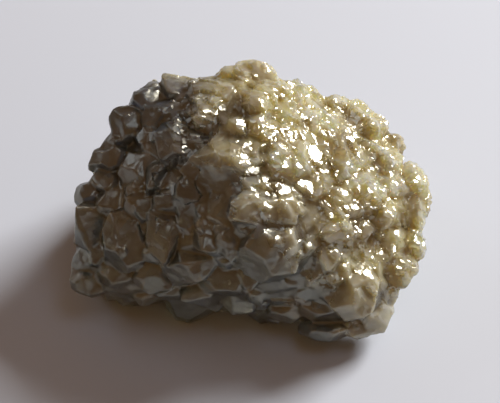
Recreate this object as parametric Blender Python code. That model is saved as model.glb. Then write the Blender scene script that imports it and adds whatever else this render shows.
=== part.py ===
"""Rough diamond: one lump of intergrown, rounded diamond crystals, as it came out of the ground.

The lump is one solid: a rounded body united with the isometric crystals that grew on it. Each
crystal has two kinds of face out of the cube, the octahedron and the dodecahedron. The front is
laid out crystal by crystal. The back, the underside and the gaps follow a golden spiral.

Millimetre values are multiplied by MM, because the scene is in metres. +X is the long way of
the lump, -Y is the front and +Z is up. The origin is in the middle of the footprint.
"""

import itertools
import math
import random

import bmesh
import bpy
from mathutils import Euler, Matrix, Vector
from mathutils.bvhtree import BVHTree

MM = 0.001

# The lump as a whole
LENGTH = 17.8 * MM
MID_HEIGHT = 5.7 * MM
WORN_HEIGHT = 0.45 * MM
GROUND_THICKNESS = 3 * MM
SEED = 11

# The eye that the front was laid out from
EYE_ELEVATION = math.radians(50)
EYE_DISTANCE = 130 * MM
SIGHTING_STEPS = 4

# The body under the crystals: x, y, z and radius of each swelling, in millimetres
BODY_SWELLINGS = [
    (0.3, 2.6, 8.1, 2.6),  # crown
    (-3.6, 2.4, 6.8, 2.4),  # left shoulder
    (-5.4, 0.8, 4.3, 2.4),  # left side
    (-6.5, -1.7, 3.15, 2.1),  # left foot
    (-0.5, -2.6, 3.9, 2.2),  # front foot
    (4.8, -3.0, 3.2, 2.1),  # right foot
    (0.3, -2.0, 6.8, 2.4),  # brow
    (5.8, 0.6, 5.0, 2.5),  # right side
    (4.3, 2.0, 6.5, 2.2),  # right shoulder
    (0.5, 4.6, 4.0, 2.4),  # back
    (-4.2, 3.8, 3.4, 2.2),  # back left
    (4.6, 3.8, 3.6, 2.3),  # back right
    (0.0, 0.4, 2.8, 2.4),  # underside
]

# Front crystals, in millimetres seen from the eye: across, up, half width, half height,
# turn in degrees, and how far the middle stands proud of the body
FRONT_CRYSTALS = {
    "crown": [
        (-0.8, 6.0, 1.1, 0.75, 20, 0.1),
        (0.3, 6.1, 1.1, 0.85, -10, 0.2),
        (1.3, 5.35, 0.75, 0.75, -30, 0.1),
        (-2.2, 5.75, 1.1, 0.5, 0, -0.1),
        (-0.9, 4.9, 1.0, 0.8, 20, 0.0),
        (0.4, 4.75, 1.2, 0.8, -15, 0.1),
        (-2.0, 4.6, 1.05, 1.2, 0, 0.3),
        (1.5, 4.2, 0.9, 0.9, -35, 0.1),
        (-0.6, 3.5, 0.9, 0.8, 0, 0.1),
        (0.55, 3.3, 0.6, 0.85, 10, 0.25),
    ],
    "right shoulder": [
        (2.9, 5.0, 0.85, 0.7, -10, 0.2),
        (4.25, 4.5, 0.75, 0.6, 0, 0.0),
        (5.2, 4.25, 0.8, 0.65, -20, 0.1),
        (6.0, 3.4, 0.85, 0.85, -40, 0.1),
        (3.1, 4.1, 0.8, 0.6, -20, 0.1),
        (4.2, 3.4, 1.1, 0.8, -15, 0.0),
        (5.7, 3.0, 0.7, 1.0, 0, -0.3),
        (6.6, 2.0, 1.0, 0.7, -30, 0.2),
        (7.0, 2.65, 0.6, 0.7, -40, 0.0),
    ],
    "right face": [
        (1.85, 1.95, 1.2, 0.95, -15, 0.45),
        (2.2, 3.0, 0.9, 0.7, -20, 0.1),
        (4.5, 2.1, 0.95, 1.15, 0, 0.4),
        (3.5, 1.0, 1.15, 1.2, 30, 0.0),
        (4.4, -0.15, 1.0, 0.5, -15, 0.3),
        (5.7, 1.7, 0.6, 1.0, 10, -0.2),
        (5.6, 0.4, 1.0, 1.0, -35, 0.25),
        (6.9, 0.8, 0.9, 0.8, -20, 0.1),
        (6.7, -0.7, 0.9, 0.9, -35, 0.25),
        (8.2, 0.9, 0.6, 0.8, 0, 0.0),
        (8.35, -0.4, 0.7, 1.0, 0, 0.1),
        (5.3, -1.5, 0.8, 0.7, 0, 0.1),
        (4.1, -1.4, 1.0, 0.85, 10, 0.3),
        (5.9, -2.6, 0.9, 0.95, 0, -0.35),
        (7.2, -2.2, 0.8, 1.0, 20, 0.1),
        (8.3, -2.3, 0.6, 0.7, 0, 0.0),
        (7.6, -3.7, 0.75, 0.7, 20, 0.1),
        (5.4, -4.4, 1.2, 1.2, 15, 0.3),
        (6.75, -4.7, 0.6, 0.7, 30, 0.0),
        (4.0, -2.8, 0.75, 0.75, 0, 0.1),
        (4.6, -3.6, 0.65, 0.75, 0, 0.0),
    ],
    "front": [
        (-1.4, 1.7, 1.35, 1.1, 5, 0.5),
        (-0.2, 2.3, 0.8, 0.8, 0, 0.2),
        (-2.3, 3.1, 0.6, 0.6, 0, -0.3),
        (-4.3, 4.1, 1.1, 0.75, 10, 0.3),
        (-3.6, 2.8, 1.05, 1.0, -10, 0.3),
        (-4.6, 1.1, 0.5, 0.85, -25, 0.2),
        (-2.9, 0.4, 1.2, 1.2, 20, 0.1),
        (0.1, 0.5, 1.0, 0.7, -20, 0.1),
        (-0.2, -0.5, 0.9, 0.8, -30, 0.25),
        (1.5, 0.5, 1.1, 0.6, 0, -0.1),
        (1.4, -0.6, 1.2, 0.65, 0, 0.1),
        (-1.3, -0.8, 1.0, 0.9, 0, -0.15),
        (1.0, -2.5, 1.3, 1.4, 10, 0.35),
        (2.8, -0.9, 0.8, 0.9, 0, -0.15),
        (2.9, -2.2, 0.7, 0.9, 0, 0.0),
        (3.2, -3.9, 0.75, 0.7, 0, 0.0),
        (-1.1, -2.2, 0.8, 0.8, 0, 0.15),
        (-2.3, -1.8, 0.7, 1.0, 15, 0.05),
        (-4.3, -1.7, 0.95, 1.2, -10, 0.1),
        (-3.0, -3.4, 1.3, 0.9, 25, 0.25),
        (-1.3, -4.1, 1.0, 0.9, 0, 0.1),
        (1.3, -4.4, 1.3, 0.6, -5, -0.1),
        (0.0, -3.8, 0.7, 0.8, 0, 0.0),
    ],
    "left face": [
        (-6.1, 3.85, 0.9, 0.85, 20, 0.1),
        (-5.05, 5.05, 0.8, 0.7, 30, 0.1),
        (-3.75, 5.5, 0.85, 0.65, -10, 0.1),
        (-6.7, 2.9, 0.7, 0.5, 30, 0.1),
        (-7.1, 2.1, 0.9, 0.55, 25, 0.1),
        (-5.8, 1.6, 0.8, 0.8, 0, 0.1),
        (-7.25, 0.95, 0.9, 0.65, 20, 0.1),
        (-8.1, 0.1, 0.6, 0.7, 30, 0.0),
        (-7.0, -0.1, 0.85, 0.75, 0, 0.15),
        (-5.5, -0.4, 0.85, 0.7, 0, 0.1),
        (-8.15, -1.4, 0.7, 1.2, 5, 0.1),
        (-6.3, -2.1, 1.05, 1.3, -5, 0.35),
        (-8.35, -3.4, 0.8, 1.0, 0, 0.1),
        (-6.5, -4.0, 1.0, 0.7, 0, 0.0),
        (-8.2, -4.3, 0.75, 0.6, 0, 0.0),
        (-6.6, -4.55, 0.8, 0.5, 0, -0.1),
    ],
    "lower edge": [
        (-4.8, -3.9, 0.9, 0.7, -15, 0.25),
        (-4.3, -4.7, 0.95, 0.55, 0, 0.0),
        (-2.5, -4.75, 1.0, 0.65, 0, 0.05),
        (-2.0, -5.25, 0.8, 0.45, 0, 0.0),
        (-0.5, -5.3, 0.9, 0.75, 0, 0.0),
        (1.9, -5.65, 1.1, 0.65, 10, 0.1),
        (4.0, -5.7, 1.4, 0.85, 5, 0.1),
        (6.15, -5.9, 0.9, 0.9, 20, 0.2),
        (3.9, -6.75, 1.1, 0.5, 0, -0.1),
        (5.3, -6.6, 0.8, 0.5, 0, 0.0),
    ],
}

# A crystal's full radius and how far its top stands out of the body, as shares of the radius that
# shows, its thickness as a share of its full radius, and how strongly it leans up
GROWN_INTO = 1.3
RELIEF = 0.42
THICKNESS = 0.75
LEAN = 0.55

# A place farther than this from the body is past its outline
SKIN = 0.01 * MM

# Crystals that no row places, along a golden spiral: how many places to try, shown radius, how far
# apart they keep as a share of their two radii, and how squarely they may face the eye
SPIRAL_ROUNDS = [
    (130, (0.95 * MM, 1.35 * MM), 0.75, 0.1),
    (420, (0.55 * MM, 0.9 * MM), 0.75, 0.1),
    (700, (0.45 * MM, 0.65 * MM), 0.78, 1.0),
]
SPIRAL_PROUD = (-0.1, 0.25)
SPIRAL_STRETCH = (0.85, 1.15)

# The blank that a crystal is cut from, in crystal radii, and how near to the middle each kind of
# face may cut
BLANK_SIZE = 3.0
CUBE_REACH = (0.78, 1.02)
OCTAHEDRON_REACH = (0.76, 1.0)
DODECAHEDRON_REACH = (0.8, 1.04)
FORMS_PER_CRYSTAL = 2
CUT_TOLERANCE = 1e-5


def clear_scene():
    for old in list(bpy.data.objects):
        bpy.data.objects.remove(old)


def new_collection(name):
    collection = bpy.data.collections.new(name)
    bpy.context.scene.collection.children.link(collection)
    return collection


def body_mesh():
    """The rounded body: the skin stretched over its swellings."""
    bm = bmesh.new()
    for x, y, z, radius in BODY_SWELLINGS:
        place = Matrix.Translation(Vector((x, y, z)) * MM)
        bmesh.ops.create_icosphere(bm, subdivisions=2, radius=radius * MM, matrix=place)
    bmesh.ops.delete(bm, geom=bm.edges[:] + bm.faces[:], context="EDGES_FACES")
    skin = bmesh.ops.convex_hull(bm, input=bm.verts)
    inside = [e for e in skin["geom_interior"] if isinstance(e, bmesh.types.BMVert)]
    bmesh.ops.delete(bm, geom=inside, context="VERTS")
    return bm


def crystal_faces():
    """Outward directions of the cube, octahedron and dodecahedron faces of a cubic crystal."""
    signs = list(itertools.product((-1, 0, 1), repeat=3))
    return [
        ([Vector(s).normalized() for s in signs if s.count(0) == zeros], reach)
        for zeros, reach in ((2, CUBE_REACH), (0, OCTAHEDRON_REACH), (1, DODECAHEDRON_REACH))
    ]


def crystal_mesh(draw):
    """A rounded isometric crystal about one unit in radius, with faces at uneven distances."""
    bm = bmesh.new()
    bmesh.ops.create_cube(bm, size=BLANK_SIZE)
    for normals, reach in draw.sample(crystal_faces(), FORMS_PER_CRYSTAL):
        for normal in normals:
            everything = bm.verts[:] + bm.edges[:] + bm.faces[:]
            near = normal * draw.uniform(*reach)
            cut = bmesh.ops.bisect_plane(
                bm,
                geom=everything,
                dist=CUT_TOLERANCE,
                plane_co=near,
                plane_no=normal,
                clear_outer=True,
            )
            rim = [e for e in cut["geom_cut"] if isinstance(e, bmesh.types.BMEdge)]
            if rim:
                bmesh.ops.contextual_create(bm, geom=rim)
    bmesh.ops.recalc_face_normals(bm, faces=bm.faces)
    return bm


def eye_frame():
    """The middle of the lump, the eye, and the directions across, up and towards the eye."""
    across = Vector((1, 0, 0))
    towards = Vector((0, -math.cos(EYE_ELEVATION), math.sin(EYE_ELEVATION)))
    up = towards.cross(across)
    middle = Vector((0, 0, MID_HEIGHT))
    return middle, middle + towards * EYE_DISTANCE, across, up, towards


def seat_on_body(body, across_mm, up_mm):
    """Where the sight line through a front place meets the body, or passes it closest."""
    middle, eye, across, up, towards = eye_frame()
    sighted = middle + across * across_mm * MM + up * up_mm * MM
    line = (sighted - eye).normalized()
    place, outward, _, _ = body.ray_cast(eye, line)
    if place is not None:
        return place, outward
    place = sighted
    for _ in range(SIGHTING_STEPS):
        nearest, outward, _, _ = body.find_nearest(place)
        place = eye + line * (nearest - eye).dot(line)
    return place, (place - nearest).normalized()


def leaning_frame(outward, across):
    """Axes across, up the slope, and out of the slope but leaning up, as shingles lean."""
    out = (outward + Vector((0, 0, LEAN))).normalized()
    up_slope = out.cross(across).normalized()
    return Matrix((up_slope.cross(out), up_slope, out)).transposed()


def spun(draw):
    return Euler([draw.uniform(0, math.tau) for _ in range(3)]).to_matrix()


def front_crystals(body, draw):
    """Middle, shape matrix and shown radius of each crystal on the front."""
    _, _, across, up, towards = eye_frame()
    view = Matrix((across, up, towards)).transposed()
    for rows in FRONT_CRYSTALS.values():
        for across_mm, up_mm, half_width, half_height, turn, proud in rows:
            place, outward = seat_on_body(body, across_mm, up_mm)
            shown = (half_width + half_height) / 2 * MM
            nearest = body.find_nearest(place)[0]
            if (place - nearest).length > SKIN:
                axes = view
                depth = shown * GROWN_INTO
                centre = place + outward * (shown - depth)
            else:
                axes = leaning_frame(outward, across)
                depth = shown * GROWN_INTO * THICKNESS
                centre = place + outward * (RELIEF * shown + proud * MM - depth)
            turned = axes @ Matrix.Rotation(math.radians(turn), 3, "Z")
            wide = half_width * GROWN_INTO * MM
            high = half_height * GROWN_INTO * MM
            yield centre, turned @ Matrix.Diagonal((wide, high, depth)) @ spun(draw), shown


def spiral_crystals(body, placed, draw):
    """The same for each crystal that no row places, in rounds that start big and end by filling gaps."""
    middle, eye, across, *_ = eye_frame()
    taken = [(centre, shown) for centre, _, shown in placed]
    golden = math.pi * (3 - math.sqrt(5))
    for count, radii, gap, most_facing in SPIRAL_ROUNDS:
        for i in range(count):
            height = 1 - 2 * (i + 0.5) / count
            ring = math.sqrt(1 - height * height)
            way = Vector((ring * math.cos(i * golden), ring * math.sin(i * golden), height))
            place, outward, _, _ = body.ray_cast(middle + way * LENGTH, -way)
            shown = draw.uniform(*radii)
            if outward.dot((eye - place).normalized()) > most_facing:
                continue
            if any((place - other).length < gap * (shown + reach) for other, reach in taken):
                continue
            taken.append((place, shown))
            depth = shown * GROWN_INTO * THICKNESS
            stand = RELIEF + draw.uniform(*SPIRAL_PROUD)
            centre = place + outward * (shown * stand - depth)
            wide, high = (shown * GROWN_INTO * draw.uniform(*SPIRAL_STRETCH) for _ in range(2))
            shape = leaning_frame(outward, across) @ Matrix.Diagonal((wide, high, depth))
            yield centre, shape @ spun(draw), shown


def add_object(name, mesh, collection, parent):
    obj = bpy.data.objects.new(name, mesh)
    collection.objects.link(obj)
    obj.parent = parent
    return obj


def add_helper(name, mesh, collection, parent):
    """A solid that only a Boolean reads."""
    obj = add_object(name, mesh, collection, parent)
    obj.hide_render = True
    obj.display_type = "WIRE"
    return obj


def mesh_from(bm, name):
    mesh = bpy.data.meshes.new(name)
    bm.to_mesh(mesh)
    bm.free()
    return mesh


def ground_mesh():
    """A slab whose top takes the tips off the lowest crystals, so that the lump rests on flat wear."""
    bm = bmesh.new()
    place = Matrix.Translation((0, 0, WORN_HEIGHT - GROUND_THICKNESS / 2))
    size = Matrix.Diagonal((2 * LENGTH, 2 * LENGTH, GROUND_THICKNESS, 1))
    bmesh.ops.create_cube(bm, size=1.0, matrix=place @ size)
    return mesh_from(bm, "ground")


def diamond_material():
    material = bpy.data.materials.new("rough_diamond")
    material.use_nodes = True
    shader = material.node_tree.nodes["Principled BSDF"]
    shader.inputs["Base Color"].default_value = (0.42, 0.36, 0.24, 1)
    shader.inputs["Roughness"].default_value = 0.18
    shader.inputs["IOR"].default_value = 2.417
    shader.inputs["Transmission Weight"].default_value = 0.4
    return material


def add_boolean(obj, name, operation):
    modifier = obj.modifiers.new(name, "BOOLEAN")
    modifier.operation = operation
    return modifier


def centre_on_footprint(lump, stand):
    """Moves everything so that the origin is in the middle of the lump's footprint."""
    bpy.context.view_layer.update()
    graph = bpy.context.evaluated_depsgraph_get()
    corners = [Vector(corner) for corner in lump.evaluated_get(graph).bound_box]
    low = Vector(min(c[i] for c in corners) for i in range(3))
    high = Vector(max(c[i] for c in corners) for i in range(3))
    stand.location = (-(low.x + high.x) / 2, -(low.y + high.y) / 2, -low.z)
    print("size in mm:", [round(side / MM, 2) for side in high - low])
    print("moved by, in mm:", [round(way / MM, 2) for way in stand.location])


def main():
    clear_scene()
    draw = random.Random(SEED)
    parts = new_collection("rough_diamond")
    helpers = new_collection("crystals")
    cutters = new_collection("cutters")
    stand = add_object("stand", None, parts, None)
    body_bm = body_mesh()
    body = BVHTree.FromBMesh(body_bm)
    placed = list(front_crystals(body, draw))
    spiral = list(spiral_crystals(body, placed, draw))
    for i, (centre, shape, _) in enumerate(placed + spiral):
        bm = crystal_mesh(draw)
        bm.transform(Matrix.Translation(centre) @ shape.to_4x4())
        add_helper(f"crystal_{i:03d}", mesh_from(bm, "crystal"), helpers, stand)
    lump = add_object("rough_diamond", mesh_from(body_bm, "body"), parts, stand)
    lump.data.materials.append(diamond_material())
    grown = add_boolean(lump, "grown together", "UNION")
    grown.operand_type = "COLLECTION"
    grown.collection = helpers
    worn = add_boolean(lump, "worn flat", "DIFFERENCE")
    worn.object = add_helper("ground", ground_mesh(), cutters, stand)
    centre_on_footprint(lump, stand)
    print(len(placed), "crystals laid out by hand and", len(spiral), "along the spiral")


main()
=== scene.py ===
# %% [markdown]
# # Rough diamond
#
# This lump is not one crystal but many that grew into each other. Three things make it look real.
# Crystals of all sizes crowd each other, sharp on one side and run together on the other. Patches
# of tiny flat faces flash in the light. And the body is see-through: honey on the lit side, smoky
# in the shade.
#
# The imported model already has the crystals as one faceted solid. This lesson keeps its form and
# adds what only a fine mesh, a good material and well placed lights can show.

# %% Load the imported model
import math

import bmesh
import bpy
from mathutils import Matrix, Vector


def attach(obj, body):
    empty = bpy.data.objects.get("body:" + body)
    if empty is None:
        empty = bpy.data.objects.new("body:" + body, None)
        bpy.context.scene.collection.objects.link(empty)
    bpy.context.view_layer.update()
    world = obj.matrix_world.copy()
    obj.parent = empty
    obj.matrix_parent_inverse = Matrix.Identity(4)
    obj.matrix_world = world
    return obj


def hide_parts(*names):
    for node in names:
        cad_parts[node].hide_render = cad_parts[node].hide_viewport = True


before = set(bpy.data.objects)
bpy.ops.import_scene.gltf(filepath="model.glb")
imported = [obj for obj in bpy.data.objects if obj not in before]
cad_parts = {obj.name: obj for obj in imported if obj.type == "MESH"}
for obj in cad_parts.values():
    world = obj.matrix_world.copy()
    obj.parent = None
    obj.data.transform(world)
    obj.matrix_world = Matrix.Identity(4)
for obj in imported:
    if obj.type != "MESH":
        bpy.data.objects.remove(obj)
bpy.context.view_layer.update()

MM = 0.001
SEED = 7
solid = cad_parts["rough_diamond"]
print("triangles in the solid:", len(solid.data.polygons))

# %% [markdown]
# ## The camera
#
# A photograph is matched by its camera first, because every later choice is judged through it.
# The stone was looked down on at 50 degrees, from a hand's width away. A long lens at that
# distance gives the same weak perspective. The aim is a little below the middle of the lump, as
# the photographer's was.

# %% Set up the camera
ELEVATION = math.radians(50)
DISTANCE = 130 * MM
FRAME_WIDTH = 25 * MM
NEAREST_SEEN = 1 * MM
AIM = Vector((-0.04, -0.76, 5.14)) * MM

towards_eye = Vector((0, -math.cos(ELEVATION), math.sin(ELEVATION)))
camera_data = bpy.data.cameras.new("camera")
camera_data.lens = camera_data.sensor_width * DISTANCE / FRAME_WIDTH
camera_data.clip_start = NEAREST_SEEN
camera = bpy.data.objects.new("camera", camera_data)
bpy.context.scene.collection.objects.link(camera)
camera.location = AIM + towards_eye * DISTANCE
camera.rotation_mode = "QUATERNION"
camera.rotation_quaternion = (-towards_eye).to_track_quat("-Z", "Y")
bpy.context.scene.camera = camera
print("lens in mm:", round(camera_data.lens, 1))

# %% [markdown]
# ## Node trees in a few words
#
# Both the shapes and the material below are made by node trees. Written out link by link they
# are long and hard to follow. A few helpers let a tree read like a formula: each makes one node,
# feeds it from outputs or plain values, and gives back its result.

# %% Helpers for node trees
NUMBER_FROM_VECTORS = {"DOT_PRODUCT", "LENGTH"}


def add_node(tree, kind, **settings):
    node = tree.nodes.new(kind)
    for key, value in settings.items():
        setattr(node, key, value)
    return node


def feed(tree, target, source):
    """Links an output to an input, or sets the input to a plain value."""
    if isinstance(source, bpy.types.NodeSocket):
        tree.links.new(source, target)
    else:
        target.default_value = source


def number(tree, operation, *terms):
    node = add_node(tree, "ShaderNodeMath", operation=operation)
    for target, term in zip(node.inputs, terms):
        feed(tree, target, term)
    return node.outputs[0]


def vector(tree, operation, first, second=None):
    node = add_node(tree, "ShaderNodeVectorMath", operation=operation)
    feed(tree, node.inputs[0], first)
    if second is not None:
        feed(tree, node.inputs["Scale" if operation == "SCALE" else 1], second)
    return node.outputs["Value" if operation in NUMBER_FROM_VECTORS else "Vector"]


# %% Helpers for ranges and patterns


def centred(tree, colour):
    """A random colour as a vector that points any way: each part from -0.5 to 0.5."""
    return vector(tree, "SUBTRACT", colour, (0.5, 0.5, 0.5))


def between(tree, value, low, high, at_low=0.0, at_high=1.0):
    """Maps low..high to at_low..at_high and goes no further."""
    node = add_node(tree, "ShaderNodeMapRange")
    for label, term in (
        ("Value", value),
        ("From Min", low),
        ("From Max", high),
        ("To Min", at_low),
        ("To Max", at_high),
    ):
        feed(tree, node.inputs[label], term)
    return node.outputs[0]


def noise(tree, place, per_metre, seed, detail=2.0):
    node = add_node(tree, "ShaderNodeTexNoise", noise_dimensions="4D")
    for label, term in (("Vector", place), ("Scale", per_metre), ("W", seed), ("Detail", detail)):
        feed(tree, node.inputs[label], term)
    return node


def voronoi(tree, place, per_metre, seed):
    node = add_node(tree, "ShaderNodeTexVoronoi", voronoi_dimensions="4D", feature="F1")
    for label, term in (("Vector", place), ("Scale", per_metre), ("W", seed)):
        feed(tree, node.inputs[label], term)
    return node


# %% [markdown]
# ## Two colours in one stone, partly painted light
#
# The lump is honey on one side and smoke on the other. The honey side is the one facing the window,
# so this is partly the stone's own colour and partly painted light and shade. A straight line
# between them would look false, so a slope with some noise parts the two, and crystals that stand
# out are honey sooner, which is painted light too. Some grains are a purer yellow or a warmer grey
# than others, and each side has deeper spots.
# Crevices get painted shade and raised honey edges a painted highlight. How far a point stands out
# is read from the mesh.

# %% A helper for colours
# The Mix node has sockets for every kind of data. These are its share and its two colours.
MIX_SOCKETS = (0, 6, 7)
MIX_RESULT = 2


def blend(tree, share, first, second, kind="MIX"):
    """The first colour turned into the second by share."""
    node = add_node(tree, "ShaderNodeMix", data_type="RGBA", blend_type=kind)
    for socket, term in zip(MIX_SOCKETS, (share, first, second)):
        feed(tree, node.inputs[socket], term)
    return node.outputs[MIX_RESULT]


# %% Part honey from smoke
# The slope points towards the window, so the honey side is partly the stone's own colour and partly
# painted light.
HONEY_AND_LIGHT_WAY = (115.0, 42.0, 86.0)
HONEY_RANGE = (0.76, 1.22)
CLOUD_SIZE = 2.8 * MM
CLOUD_SHARE = 0.55
PROUD_LIGHT_SHARE = 400.0


def stored(tree, name):
    """A number that the mesh keeps at every point."""
    return add_node(tree, "ShaderNodeAttribute", attribute_name=name).outputs["Fac"]


def honey_and_light_share(tree, place):
    """From 0 in the smoke to 1 in the honey, the side facing the window: partly the stone's colour,
    partly painted light.
    """
    cloud = noise(tree, place, 1 / CLOUD_SIZE, float(SEED)).outputs[0]
    slope = vector(tree, "DOT_PRODUCT", place, HONEY_AND_LIGHT_WAY)
    zone = number(tree, "MULTIPLY_ADD", cloud, CLOUD_SHARE, slope)
    # Points that stand out are pushed towards honey: painted light on what stands out.
    zone = number(tree, "MULTIPLY_ADD", stored(tree, "proud"), PROUD_LIGHT_SHARE, zone)
    return between(tree, zone, *HONEY_RANGE)


# %% Colour the body
# Honey against smoke is partly the stone's own colour and partly painted light and shade.
HONEY = (0.98, 0.94, 0.72, 1)
YELLOW_HONEY = (0.92, 0.84, 0.46, 1)
DEEP_HONEY = (0.54, 0.46, 0.29, 1)
SMOKE = (0.105, 0.155, 0.225, 1)
WARM_SMOKE = (0.20, 0.175, 0.16, 1)
DEEP_SMOKE = (0.055, 0.07, 0.095, 1)
# Painted shade for the crevices, on the honey side and on the smoky side.
HONEY_CREVICE_SHADE = (0.72, 0.66, 0.52, 1)
SMOKE_CREVICE_SHADE = (0.35, 0.30, 0.25, 1)
# Painted highlight for the raised edges on the honey side.
PAINTED_EDGE_HIGHLIGHT = (1.0, 0.96, 0.82, 1)
TINT_SIZE = 1.9 * MM
SPOT_SIZE = 1.5 * MM
SPOT_DETAIL = 3.0
SPOT_RANGE = (0.36, 0.58)
SHADED_CREVICE_DEPTH = 0.07 * MM
EDGE_HEIGHT = 0.09 * MM
EDGE_HIGHLIGHT_SHARE = 0.35


def spot_noise(tree, place):
    """Low in the deep spots of the stone and high in the pale ones."""
    return noise(tree, place, 1 / SPOT_SIZE, float(SEED + 1), SPOT_DETAIL).outputs[0]


def colour_with_painted_light(tree, place, honey_and_lit, spots):
    cells = voronoi(tree, place, 1 / TINT_SIZE, float(SEED)).outputs["Color"]
    tint = add_node(tree, "ShaderNodeSeparateColor")
    feed(tree, tint.inputs[0], cells)
    pale = between(tree, spots, *SPOT_RANGE)
    honey = blend(tree, tint.outputs[0], HONEY, YELLOW_HONEY)
    honey = blend(tree, pale, DEEP_HONEY, honey)
    smoke = blend(tree, tint.outputs[1], SMOKE, WARM_SMOKE)
    smoke = blend(tree, pale, DEEP_SMOKE, smoke)
    body = blend(tree, honey_and_lit, smoke, honey)

    # Painted shade: points sunk below their neighbours are darkened, as crevices lie in shade.
    raised = stored(tree, "raised")
    sunk = between(tree, raised, 0.0, -SHADED_CREVICE_DEPTH)
    crevice_shade = blend(tree, honey_and_lit, SMOKE_CREVICE_SHADE, HONEY_CREVICE_SHADE)
    body = blend(tree, sunk, body, crevice_shade, "MULTIPLY")
    # Painted highlight: raised edges on the honey side are paled, as if lit by the window.
    edge = between(tree, raised, 0.0, EDGE_HEIGHT, 0.0, EDGE_HIGHLIGHT_SHARE)
    return blend(tree, number(tree, "MULTIPLY", edge, honey_and_lit), body, PAINTED_EDGE_HIGHLIGHT)


# %% [markdown]
# ## Gloss and flashes
#
# The smoky crystals have a satin skin and the honey ones a glassy skin. In the chipped patches of
# pale honey, hundreds of facets flash. They are too small for the mesh, so the material gives each
# a lean of its own. All of them lean a little towards the window too, as ledges of one crystal
# do, so that they flash singly and close together.

# %% Set the gloss
ROUGHNESS_SMOKE = 0.32
ROUGHNESS_HONEY = 0.14
ROUGHNESS_LEFT = 0.75
FLASH_RANGE = (0.45, 0.53)


def flash_share(tree, honey_and_lit, spots):
    """1 where the skin is chipped, honey and pale, so that its facets flash."""
    pale = between(tree, spots, *FLASH_RANGE)
    chipped_honey = number(tree, "MULTIPLY", stored(tree, "chipped"), honey_and_lit)
    return number(tree, "MULTIPLY", chipped_honey, pale)


def roughness(tree, honey_and_lit, flashing):
    """Where the facets flash, only a share of the roughness is left."""
    whole = between(tree, honey_and_lit, 0.0, 1.0, ROUGHNESS_SMOKE, ROUGHNESS_HONEY)
    left = between(tree, flashing, 0.0, 1.0, 1.0, ROUGHNESS_LEFT)
    return number(tree, "MULTIPLY", whole, left)


# %% Lean the small facets
FACET_SIZE = 0.33 * MM
FACET_STRETCH = (0.7, 1.0, 1.5)
FACET_TURN = math.radians(35)
FACET_LEAN = (0.15, 0.5)
SHARED_LEAN = (0.26, 0.36, 0.06)


def facet_normal(tree, place, flashing):
    """The way that each small facet faces."""
    slanted = add_node(tree, "ShaderNodeMapping")
    feed(tree, slanted.inputs["Vector"], place)
    slanted.inputs["Rotation"].default_value = (0.0, FACET_TURN, 0.0)
    slanted.inputs["Scale"].default_value = FACET_STRETCH
    facets = voronoi(tree, slanted.outputs[0], 1 / FACET_SIZE, float(SEED)).outputs["Color"]
    amount = between(tree, flashing, 0.0, 1.0, *FACET_LEAN)
    own = vector(tree, "SCALE", centred(tree, facets), amount)
    shared = vector(tree, "SCALE", SHARED_LEAN, flashing)
    normal = add_node(tree, "ShaderNodeNewGeometry").outputs["Normal"]
    lean = vector(tree, "ADD", own, shared)
    return vector(tree, "NORMALIZE", vector(tree, "ADD", normal, lean))


# %% [markdown]
# ## The crystal itself
#
# Diamond bends light more than nearly any other clear stone, so its index of refraction, 2.417,
# goes in as it is. A lump like this is full of tiny cracks that scatter light, so part of the
# light goes straight through and part is spread inside the body, which fills the shaded side with
# a honey glow. An absorbing volume deepens the colour where the stone is thick.

# %% Make the diamond
INDEX_OF_REFRACTION = 2.417
STRAIGHT_THROUGH = 0.66
SCATTERED = 1.0
SCATTER_SCALE = 1.3 * MM
SCATTER_RADIUS = (1.0, 0.9, 0.6)
GLINT_LEVEL = 0.32
HONEY_GLINT = (1.0, 0.97, 0.82, 1)
LEFT_BY_DEPTH = (0.85, 0.80, 0.60, 1)
DEPTH_DENSITY = 150


def stone_material():
    material = bpy.data.materials.new("diamond")
    material.use_nodes = True
    tree = material.node_tree
    shader = tree.nodes["Principled BSDF"]
    for label, value in (
        ("IOR", INDEX_OF_REFRACTION),
        ("Transmission Weight", STRAIGHT_THROUGH),
        ("Subsurface Weight", SCATTERED),
        ("Subsurface Scale", SCATTER_SCALE),
        ("Subsurface Radius", SCATTER_RADIUS),
        ("Specular IOR Level", GLINT_LEVEL),
        ("Specular Tint", HONEY_GLINT),
    ):
        shader.inputs[label].default_value = value

    place = add_node(tree, "ShaderNodeTexCoord").outputs["Object"]
    honey_and_lit = honey_and_light_share(tree, place)
    spots = spot_noise(tree, place)
    flashing = flash_share(tree, honey_and_lit, spots)
    feed(tree, shader.inputs["Base Color"], colour_with_painted_light(tree, place, honey_and_lit, spots))
    feed(tree, shader.inputs["Roughness"], roughness(tree, honey_and_lit, flashing))
    feed(tree, shader.inputs["Normal"], facet_normal(tree, place, flashing))

    absorb = add_node(tree, "ShaderNodeVolumeAbsorption")
    absorb.inputs["Color"].default_value = LEFT_BY_DEPTH
    absorb.inputs["Density"].default_value = DEPTH_DENSITY
    feed(tree, tree.nodes["Material Output"].inputs["Volume"], absorb.outputs[0])
    return material


stone = stone_material()
print("nodes in the material:", len(stone.node_tree.nodes))

# %% [markdown]
# ## A fine mesh of the same lump
#
# The solid is a set of loose triangles. It stays as it is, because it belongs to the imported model.
# A copy of it is merged into one skin, and everything below grows on that copy.

# %% Copy the solid's skin
WELD = 0.0005 * MM


def merged_copy(obj, name):
    """A copy of the object with its loose triangles welded into one skin."""
    bm = bmesh.new()
    bm.from_mesh(obj.data)
    bmesh.ops.remove_doubles(bm, verts=bm.verts, dist=WELD)
    mesh = bpy.data.meshes.new(name)
    bm.to_mesh(mesh)
    bm.free()
    copy = bpy.data.objects.new(name, mesh)
    bpy.context.scene.collection.objects.link(copy)
    return copy


skin = merged_copy(solid, "rough_diamond_skin")
print("welded:", len(skin.data.vertices), "points")

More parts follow.
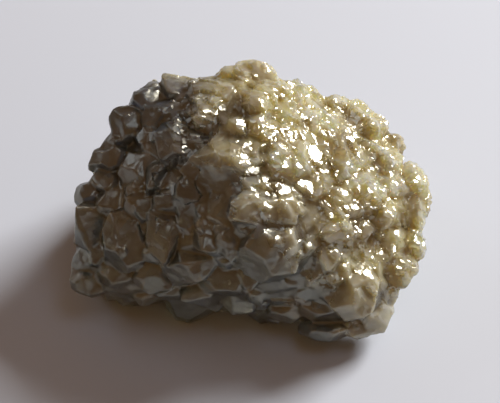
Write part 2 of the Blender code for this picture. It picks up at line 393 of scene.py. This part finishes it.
# %% [markdown]
# ## Shapes made by nodes
#
# A Geometry Nodes tree is a rule for a shape. Its sizes are named inputs, so one tree can be used
# again with other values. Each tree ends in real geometry with the stone's material on it, and is
# then turned into a plain mesh.

# %% Helpers to build a tree


def new_tree(name, inputs):
    """A geometry tree with named inputs. Gives the tree and its two ends."""
    tree = bpy.data.node_groups.new(name, "GeometryNodeTree")
    tree.interface.new_socket("Geometry", in_out="INPUT", socket_type="NodeSocketGeometry")
    tree.interface.new_socket("Geometry", in_out="OUTPUT", socket_type="NodeSocketGeometry")
    for label, kind in inputs.items():
        tree.interface.new_socket(label, in_out="INPUT", socket_type="NodeSocket" + kind)
    into = add_node(tree, "NodeGroupInput").outputs
    return tree, into, add_node(tree, "NodeGroupOutput").inputs[0]


def painted(tree, geometry, material):
    """Real geometry in the given material: the last step of every tree."""
    real = add_node(tree, "GeometryNodeRealizeInstances")
    feed(tree, real.inputs[0], geometry)
    paint = add_node(tree, "GeometryNodeSetMaterial")
    feed(tree, paint.inputs["Geometry"], real.outputs[0])
    feed(tree, paint.inputs["Material"], material)
    return paint.outputs[0]


# %% Helpers to use a tree


def use_tree(obj, tree, values):
    """Adds the tree as a modifier and sets its inputs by identifier, before it is evaluated."""
    modifier = obj.modifiers.new(tree.name, "NODES")
    modifier.node_group = tree
    sockets = {s.name: s.identifier for s in tree.interface.items_tree if s.in_out == "INPUT"}
    for label, value in values.items():
        modifier[sockets[label]] = value


def baked(obj, name):
    """The evaluated object as a plain mesh object. The one it came from is removed."""
    graph = bpy.context.evaluated_depsgraph_get()
    mesh = bpy.data.meshes.new_from_object(obj.evaluated_get(graph))
    mesh.name = name
    bpy.data.objects.remove(obj)
    result = bpy.data.objects.new(name, mesh)
    bpy.context.scene.collection.objects.link(result)
    return result


def triangles(mesh):
    return sum(len(polygon.vertices) - 2 for polygon in mesh.polygons)


# %% [markdown]
# ## Small grains
#
# Between the big crystals a real lump has smaller ones, too small for the solid. They could be
# modelled one by one, but there are many and no two are alike, so a tree scatters them: points on
# the skin, and on each a 20-sided grain, sunk, turned and scaled.

# %% Build the tree for the grains
GRAIN_SHAPE = (0.6, 1.3)


def random_vector(tree, low, high, seed):
    node = add_node(tree, "FunctionNodeRandomValue", data_type="FLOAT_VECTOR")
    for label, term in (("Min", (low,) * 3), ("Max", (high,) * 3), ("Seed", seed)):
        feed(tree, node.inputs[label], term)
    return node.outputs["Value"]


def grain_tree():
    tree, into, out = new_tree("small grains", {
        "Smallest": "Float",
        "Largest": "Float",
        "Density": "Float",
        "Sink": "Float",
        "Seed": "Int",
        "Material": "Material",
    })
    points = add_node(tree, "GeometryNodeDistributePointsOnFaces")
    for label, term in (("Mesh", "Geometry"), ("Density", "Density"), ("Seed", "Seed")):
        feed(tree, points.inputs[label], into[term])
    size = add_node(tree, "FunctionNodeRandomValue", data_type="FLOAT")
    for target, term in ((size.inputs[2], "Smallest"), (size.inputs[3], "Largest")):
        feed(tree, target, into[term])
    feed(tree, size.inputs["Seed"], into["Seed"])

    depth = number(tree, "MULTIPLY", size.outputs[1], into["Sink"])
    down = vector(tree, "SCALE", points.outputs["Normal"], number(tree, "MULTIPLY", depth, -1.0))
    sunk = add_node(tree, "GeometryNodeSetPosition")
    feed(tree, sunk.inputs["Geometry"], points.outputs["Points"])
    feed(tree, sunk.inputs["Offset"], down)

    grain = add_node(tree, "GeometryNodeMeshIcoSphere")
    grains = add_node(tree, "GeometryNodeInstanceOnPoints")
    feed(tree, grains.inputs["Points"], sunk.outputs[0])
    feed(tree, grains.inputs["Instance"], grain.outputs["Mesh"])
    feed(tree, grains.inputs["Rotation"], random_vector(tree, 0.0, math.tau, into["Seed"]))
    shape = random_vector(tree, *GRAIN_SHAPE, into["Seed"])
    feed(tree, grains.inputs["Scale"], vector(tree, "SCALE", shape, size.outputs[1]))

    both = add_node(tree, "GeometryNodeJoinGeometry")
    feed(tree, both.inputs[0], grains.outputs[0])
    feed(tree, both.inputs[0], into["Geometry"])
    feed(tree, out, painted(tree, both.outputs[0], into["Material"]))
    return tree


# %% Scatter the small grains
GRAIN_SIZES = (0.25 * MM, 0.6 * MM)
GRAINS_PER_SQUARE_METRE = 0.10e6
GRAIN_SINK = 0.85

scatter = grain_tree()
use_tree(skin, scatter, {
    "Smallest": GRAIN_SIZES[0],
    "Largest": GRAIN_SIZES[1],
    "Density": GRAINS_PER_SQUARE_METRE,
    "Sink": GRAIN_SINK,
    "Seed": SEED,
    "Material": stone,
})
print("nodes that scatter the grains:", len(scatter.nodes))

# %% [markdown]
# ## One skin
#
# The grains still poke through each other. Crystals that grew together share one surface, so a
# voxel remesh fuses them, and a little smoothing takes off edges that handling would have worn.

# %% Fuse and soften
VOXEL = 0.07 * MM
SOFTEN_SHARE = 0.5
SOFTEN_TIMES = 7

fuse = skin.modifiers.new("fuse", "REMESH")
fuse.mode = "VOXEL"
fuse.voxel_size = VOXEL
fuse.use_smooth_shade = True
soften = skin.modifiers.new("soften", "SMOOTH")
soften.factor = SOFTEN_SHARE
soften.iterations = SOFTEN_TIMES
print("modifiers so far:", [modifier.name for modifier in skin.modifiers])

# %% [markdown]
# ## Relief
#
# Smoothing also fills the crevices, so on the smoky side they are cut again: each point moves
# away from the average of its neighbours. On the honey side the crystals run together, so there
# the crevices are filled up instead. A wave bends the flat faces, because real ones are never
# quite flat. How far a point stands out is stored, for the material to paint shade into crevices
# and a highlight onto edges.

# %% Helpers for points


def store(tree, geometry, name, value):
    """Keeps a number at every point under a name that a material can read."""
    node = add_node(tree, "GeometryNodeStoreNamedAttribute", data_type="FLOAT", domain="POINT")
    for label, term in (("Geometry", geometry), ("Name", name), ("Value", value)):
        feed(tree, node.inputs[label], term)
    return node.outputs[0]


def moved(tree, geometry, offset):
    node = add_node(tree, "GeometryNodeSetPosition")
    feed(tree, node.inputs["Geometry"], geometry)
    feed(tree, node.inputs["Offset"], offset)
    return node.outputs[0]


def evened(tree, value, times):
    """The value averaged with its neighbours', so many times over."""
    node = add_node(tree, "GeometryNodeBlurAttribute", data_type="FLOAT_VECTOR")
    feed(tree, node.inputs["Value"], value)
    feed(tree, node.inputs["Iterations"], times)
    return node.outputs["Value"]


# %% Build the tree for the relief


def wave_move(tree, into, position):
    """A small move of each point that bends the faces."""
    per_metre = number(tree, "DIVIDE", 1.0, into["Wave size"])
    waves = noise(tree, position, per_metre, into["Seed"], into["Wave detail"])
    feed(tree, waves.inputs["Roughness"], into["Wave roughness"])
    return vector(tree, "SCALE", centred(tree, waves.outputs["Color"]), into["Wave height"])


def relief_tree():
    tree, into, out = new_tree("relief", {
        "Spread": "Int",
        "Broad spread": "Int",
        "Amount": "Float",
        "Fill": "Float",
        "Filled below": "Float",
        "Honey way": "Vector",
        "Honey start": "Float",
        "Honey end": "Float",
        "Wave size": "Float",
        "Wave height": "Float",
        "Wave detail": "Float",
        "Wave roughness": "Float",
        "Seed": "Float",
        "Material": "Material",
    })
    position = add_node(tree, "GeometryNodeInputPosition").outputs[0]
    normal = add_node(tree, "GeometryNodeInputNormal").outputs[0]
    above = vector(tree, "SUBTRACT", position, evened(tree, position, into["Spread"]))
    broad = vector(tree, "SUBTRACT", position, evened(tree, position, into["Broad spread"]))
    proud = vector(tree, "DOT_PRODUCT", broad, normal)
    kept = store(tree, into["Geometry"], "raised", vector(tree, "DOT_PRODUCT", above, normal))
    kept = store(tree, kept, "proud", proud)

    slope = vector(tree, "DOT_PRODUCT", position, into["Honey way"])
    honey_and_lit = between(tree, slope, into["Honey start"], into["Honey end"])
    smoky = number(tree, "SUBTRACT", 1.0, honey_and_lit)
    sharpened = vector(tree, "SCALE", above, number(tree, "MULTIPLY", smoky, into["Amount"]))
    to_fill = number(tree, "MULTIPLY", number(tree, "MULTIPLY", into["Fill"], honey_and_lit), -1.0)
    deepest = number(tree, "MULTIPLY", into["Filled below"], -1.0)
    sunk = between(tree, proud, into["Filled below"], deepest, 0.0, to_fill)
    filled = vector(tree, "SCALE", broad, sunk)
    bent = vector(tree, "ADD", sharpened, wave_move(tree, into, position))
    move = vector(tree, "ADD", bent, filled)
    feed(tree, out, painted(tree, moved(tree, kept, move), into["Material"]))
    return tree


# %% Reshape the skin
RELIEF_SPREAD = 40
BROAD_SPREAD = 350
RELIEF = 0.35
CREVICE_FILL = 0.85
FILLED_BELOW = 0.08 * MM
HONEY_STARTS = 0.2
HONEY_FULL = 0.6
WAVE_SIZE = 1.6 * MM
WAVE_HEIGHT = 0.3 * MM
WAVE_DETAIL = 4.0
WAVE_ROUGHNESS = 0.58
WAVE_SEED = SEED + 3

use_tree(skin, relief_tree(), {
    "Spread": RELIEF_SPREAD,
    "Broad spread": BROAD_SPREAD,
    "Amount": RELIEF,
    "Fill": CREVICE_FILL,
    "Filled below": FILLED_BELOW,
    "Honey way": HONEY_AND_LIGHT_WAY,
    "Honey start": HONEY_STARTS,
    "Honey end": HONEY_FULL,
    "Wave size": WAVE_SIZE,
    "Wave height": WAVE_HEIGHT,
    "Wave detail": WAVE_DETAIL,
    "Wave roughness": WAVE_ROUGHNESS,
    "Seed": float(WAVE_SEED),
    "Material": stone,
})
lump = baked(skin, "rough_diamond_crystals")
print("one skin:", triangles(lump.data), "triangles")

# %% [markdown]
# ## Bubbles
#
# Fusing can shut a small hollow in, or leave a speck beside the lump. Nobody sees them, but a
# finished mesh is one closed skin, so every loose part but the largest goes.

# %% Drop what the fusing shut in


def keep_largest_part(mesh):
    """Deletes every loose part of the mesh but the largest. Gives how many went."""
    bm = bmesh.new()
    bm.from_mesh(mesh)
    left = set(bm.verts)
    parts = []
    while left:
        part = [left.pop()]
        for vert in part:
            near = {edge.other_vert(vert) for edge in vert.link_edges} & left
            left -= near
            part.extend(near)
        parts.append(part)
    parts.sort(key=len)
    shut_in = [vert for part in parts[:-1] for vert in part]
    bmesh.ops.delete(bm, geom=shut_in, context="VERTS")
    bm.to_mesh(mesh)
    bm.free()
    return len(parts) - 1


print("bubbles and specks dropped:", keep_largest_part(lump.data))

# %% [markdown]
# ## Chips
#
# Where the lump was knocked or grew unevenly, its skin is broken into small flat faces that flash
# one by one. A bump map could fake the flashes, but not the jagged edges. A Voronoi pattern parts
# the skin into cells, and each cell in a chipped patch is pressed onto a plane of its own: the
# plane through the skin at the middle of the cell, tipped at random. All planes also tip a little
# the same way, as ledges of one crystal do, so that a whole patch lights up at once. Large chips
# come first and small ones break them up. The base, worn flat, is left out.

# %% Helpers for the chips
# Nothing is below this place, in metres. Only its last part matters: it is the floor.
LOWEST_PLACE = (-1.0, -1.0, 0.0)


def on_surface(tree, geometry, value, place):
    """The value at the point of the surface nearest to the place."""
    node = add_node(tree, "GeometryNodeSampleNearestSurface", data_type="FLOAT_VECTOR")
    for label, term in (("Mesh", geometry), ("Value", value), ("Sample Position", place)):
        feed(tree, node.inputs[label], term)
    return node.outputs["Value"]


def limited(tree, value, most):
    """The value kept from -most to most."""
    least = number(tree, "MULTIPLY", most, -1.0)
    return number(tree, "MAXIMUM", number(tree, "MINIMUM", value, most), least)


def above_floor(tree, geometry, position):
    """Lifts any point that was pressed below the floor back onto it."""
    node = add_node(tree, "GeometryNodeSetPosition")
    feed(tree, node.inputs["Geometry"], geometry)
    feed(tree, node.inputs["Position"], vector(tree, "MAXIMUM", position, LOWEST_PLACE))
    return node.outputs[0]


def patch_share(tree, into, position, middle_of_cell):
    """From 0 on whole skin to 1 in a chipped patch. It is 0 at the base too."""
    per_metre = number(tree, "DIVIDE", 1.0, into["Patch size"])
    patches = noise(tree, middle_of_cell, per_metre, into["Seed"]).outputs[0]
    slope = vector(tree, "DOT_PRODUCT", position, into["Patch way"])
    over = number(tree, "SUBTRACT", number(tree, "ADD", patches, slope), into["Patch start"])
    chipped = between(tree, over, 0.0, into["Patch edge"])
    parts = add_node(tree, "ShaderNodeSeparateXYZ")
    feed(tree, parts.inputs[0], position)
    off_base = between(tree, parts.outputs["Z"], into["Base start"], into["Base end"])
    return number(tree, "MULTIPLY", chipped, off_base)


# %% Build the tree for the chips


def chip_tree():
    tree, into, out = new_tree("chips", {
        "Chip size": "Float",
        "Tip": "Float",
        "Ledge": "Vector",
        "Warp": "Float",
        "Patch size": "Float",
        "Patch way": "Vector",
        "Patch start": "Float",
        "Patch edge": "Float",
        "Base start": "Float",
        "Base end": "Float",
        "Deepest": "Float",
        "Seed": "Float",
        "Material": "Material",
    })
    position = add_node(tree, "GeometryNodeInputPosition").outputs[0]
    normal = add_node(tree, "GeometryNodeInputNormal").outputs[0]
    per_metre = number(tree, "DIVIDE", 1.0, into["Chip size"])
    bend = noise(tree, position, per_metre, into["Seed"]).outputs["Color"]
    warped = vector(tree, "ADD", position, vector(tree, "SCALE", centred(tree, bend), into["Warp"]))
    cells = voronoi(tree, warped, per_metre, into["Seed"])
    middle_of_cell = cells.outputs["Position"]

    middle = on_surface(tree, into["Geometry"], position, middle_of_cell)
    facing = on_surface(tree, into["Geometry"], normal, middle_of_cell)
    tip = vector(tree, "SCALE", centred(tree, cells.outputs["Color"]), into["Tip"])
    tipped = vector(tree, "ADD", vector(tree, "ADD", facing, tip), into["Ledge"])
    plane = vector(tree, "NORMALIZE", tipped)
    height = vector(tree, "DOT_PRODUCT", vector(tree, "SUBTRACT", position, middle), plane)
    height = limited(tree, height, into["Deepest"])

    chipped = patch_share(tree, into, position, middle_of_cell)
    press = number(tree, "MULTIPLY", number(tree, "MULTIPLY", height, chipped), -1.0)
    kept = store(tree, into["Geometry"], "chipped", chipped)
    pressed = moved(tree, kept, vector(tree, "SCALE", plane, press))
    whole = above_floor(tree, pressed, position)
    feed(tree, out, painted(tree, whole, into["Material"]))
    return tree


# %% Cut the chips
EVERY_CHIP = {
    "Ledge": Vector((0.22, 0.30, 0.08)),
    "Patch size": 1.9 * MM,
    "Patch way": Vector((21.0, 14.0, 23.0)),
    "Patch edge": 0.08,
    "Base start": 0.1 * MM,
    "Base end": 0.5 * MM,
    "Material": stone,
}
LARGE_CHIPS = {
    "Chip size": 1.1 * MM,
    "Tip": 0.35,
    "Warp": 0.4 * MM,
    "Patch start": 0.6,
    "Deepest": 0.1 * MM,
    "Seed": float(SEED),
}
SMALL_CHIPS = {
    "Chip size": 0.5 * MM,
    "Tip": 0.6,
    "Warp": 0.2 * MM,
    "Patch start": 0.65,
    "Deepest": 0.07 * MM,
    "Seed": float(SEED + 1),
}

chips = chip_tree()
for chips_of_one_size in (LARGE_CHIPS, SMALL_CHIPS):
    use_tree(lump, chips, EVERY_CHIP | chips_of_one_size)
lump = baked(lump, "rough_diamond_chipped")
print("chipped:", triangles(lump.data), "triangles")

# %% [markdown]
# ## Thinning
#
# The voxel mesh spends as many triangles on a flat chip as on a jagged edge. A collapse takes
# most of them off the flat parts and leaves the edges, so the file stays light and the facets
# stay crisp. Edges sharper than a set angle are shaded hard and the rest smoothly.

# %% Thin out the flat parts
MOST_TRIANGLES = 190000
SHARP_ANGLE = math.radians(28)

thin = lump.modifiers.new("thin", "DECIMATE")
thin.ratio = min(1.0, MOST_TRIANGLES / triangles(lump.data))
lump = baked(lump, "rough_diamond_lump")
lump.data.shade_smooth()
lump.data.set_sharp_from_angle(angle=SHARP_ANGLE)
print("thinned:", triangles(lump.data), "triangles")

# %% [markdown]
# ## Floor and light
#
# Gloss is only as good as what it reflects. One warm window light from the right and behind
# gives the flashes and the long soft shadow. Two weak blue ones stand for the sky and put cool
# glints beside the warm ones. The dim brown room fills the shadow.

# %% Lay the floor
FLOOR_SIZE = 1000 * MM
FLOOR_GAP = 0.02 * MM
FLOOR_COLOUR = (0.48, 0.515, 0.59, 1)
FLOOR_ROUGHNESS = 0.7

bpy.ops.mesh.primitive_plane_add(size=FLOOR_SIZE, location=(0, 0, -FLOOR_GAP))
floor = bpy.context.object
floor.name = "floor"
paper = bpy.data.materials.new("floor")
paper.use_nodes = True
paper_shader = paper.node_tree.nodes["Principled BSDF"]
paper_shader.inputs["Base Color"].default_value = FLOOR_COLOUR
paper_shader.inputs["Roughness"].default_value = FLOOR_ROUGHNESS
floor.data.materials.append(paper)
print("floor in mm:", [round(side / MM) for side in floor.dimensions])

# %% Dim the room
ROOM_COLOUR = (1.0, 0.52, 0.19, 1)
ROOM_STRENGTH = 0.2

world = bpy.data.worlds.new("room")
bpy.context.scene.world = world
world.use_nodes = True
room = world.node_tree.nodes["Background"]
room.inputs["Color"].default_value = ROOM_COLOUR
room.inputs["Strength"].default_value = ROOM_STRENGTH
bpy.context.scene.view_settings.view_transform = "Standard"
print("room strength:", ROOM_STRENGTH)

# %% Light the stone
LIGHT_DISTANCE = 300 * MM
WARM = (1.0, 0.98, 0.94)
COOL = (0.66, 0.80, 1.0)
WINDOW = {"colour": WARM, "way": (0.68, 0.52, 0.52), "size": 120 * MM, "watts": 1.82}
SKY = {"colour": COOL, "way": (0.3, -0.15, 0.94), "size": 120 * MM, "watts": 0.07}
SKY_LEFT = {"colour": COOL, "way": (-0.7, 0.4, 0.6), "size": 100 * MM, "watts": 0.06}


def add_light(name, colour, way, size, watts):
    """A square light that looks at the stone from the given way."""
    data = bpy.data.lights.new(name, "AREA")
    data.size = size
    data.energy = watts
    data.color = colour
    lamp = bpy.data.objects.new(name, data)
    bpy.context.scene.collection.objects.link(lamp)
    side = Vector(way).normalized()
    lamp.location = AIM + side * LIGHT_DISTANCE
    lamp.rotation_mode = "QUATERNION"
    lamp.rotation_quaternion = side.to_track_quat("Z", "Y")
    return lamp


for name, light in (("window", WINDOW), ("sky", SKY), ("sky left", SKY_LEFT)):
    lamp = add_light(name, **light)
    print(name, "light at, in mm:", [round(way / MM) for way in lamp.location])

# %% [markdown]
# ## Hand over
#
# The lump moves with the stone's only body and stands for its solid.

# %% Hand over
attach(lump, "root")
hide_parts("rough_diamond")
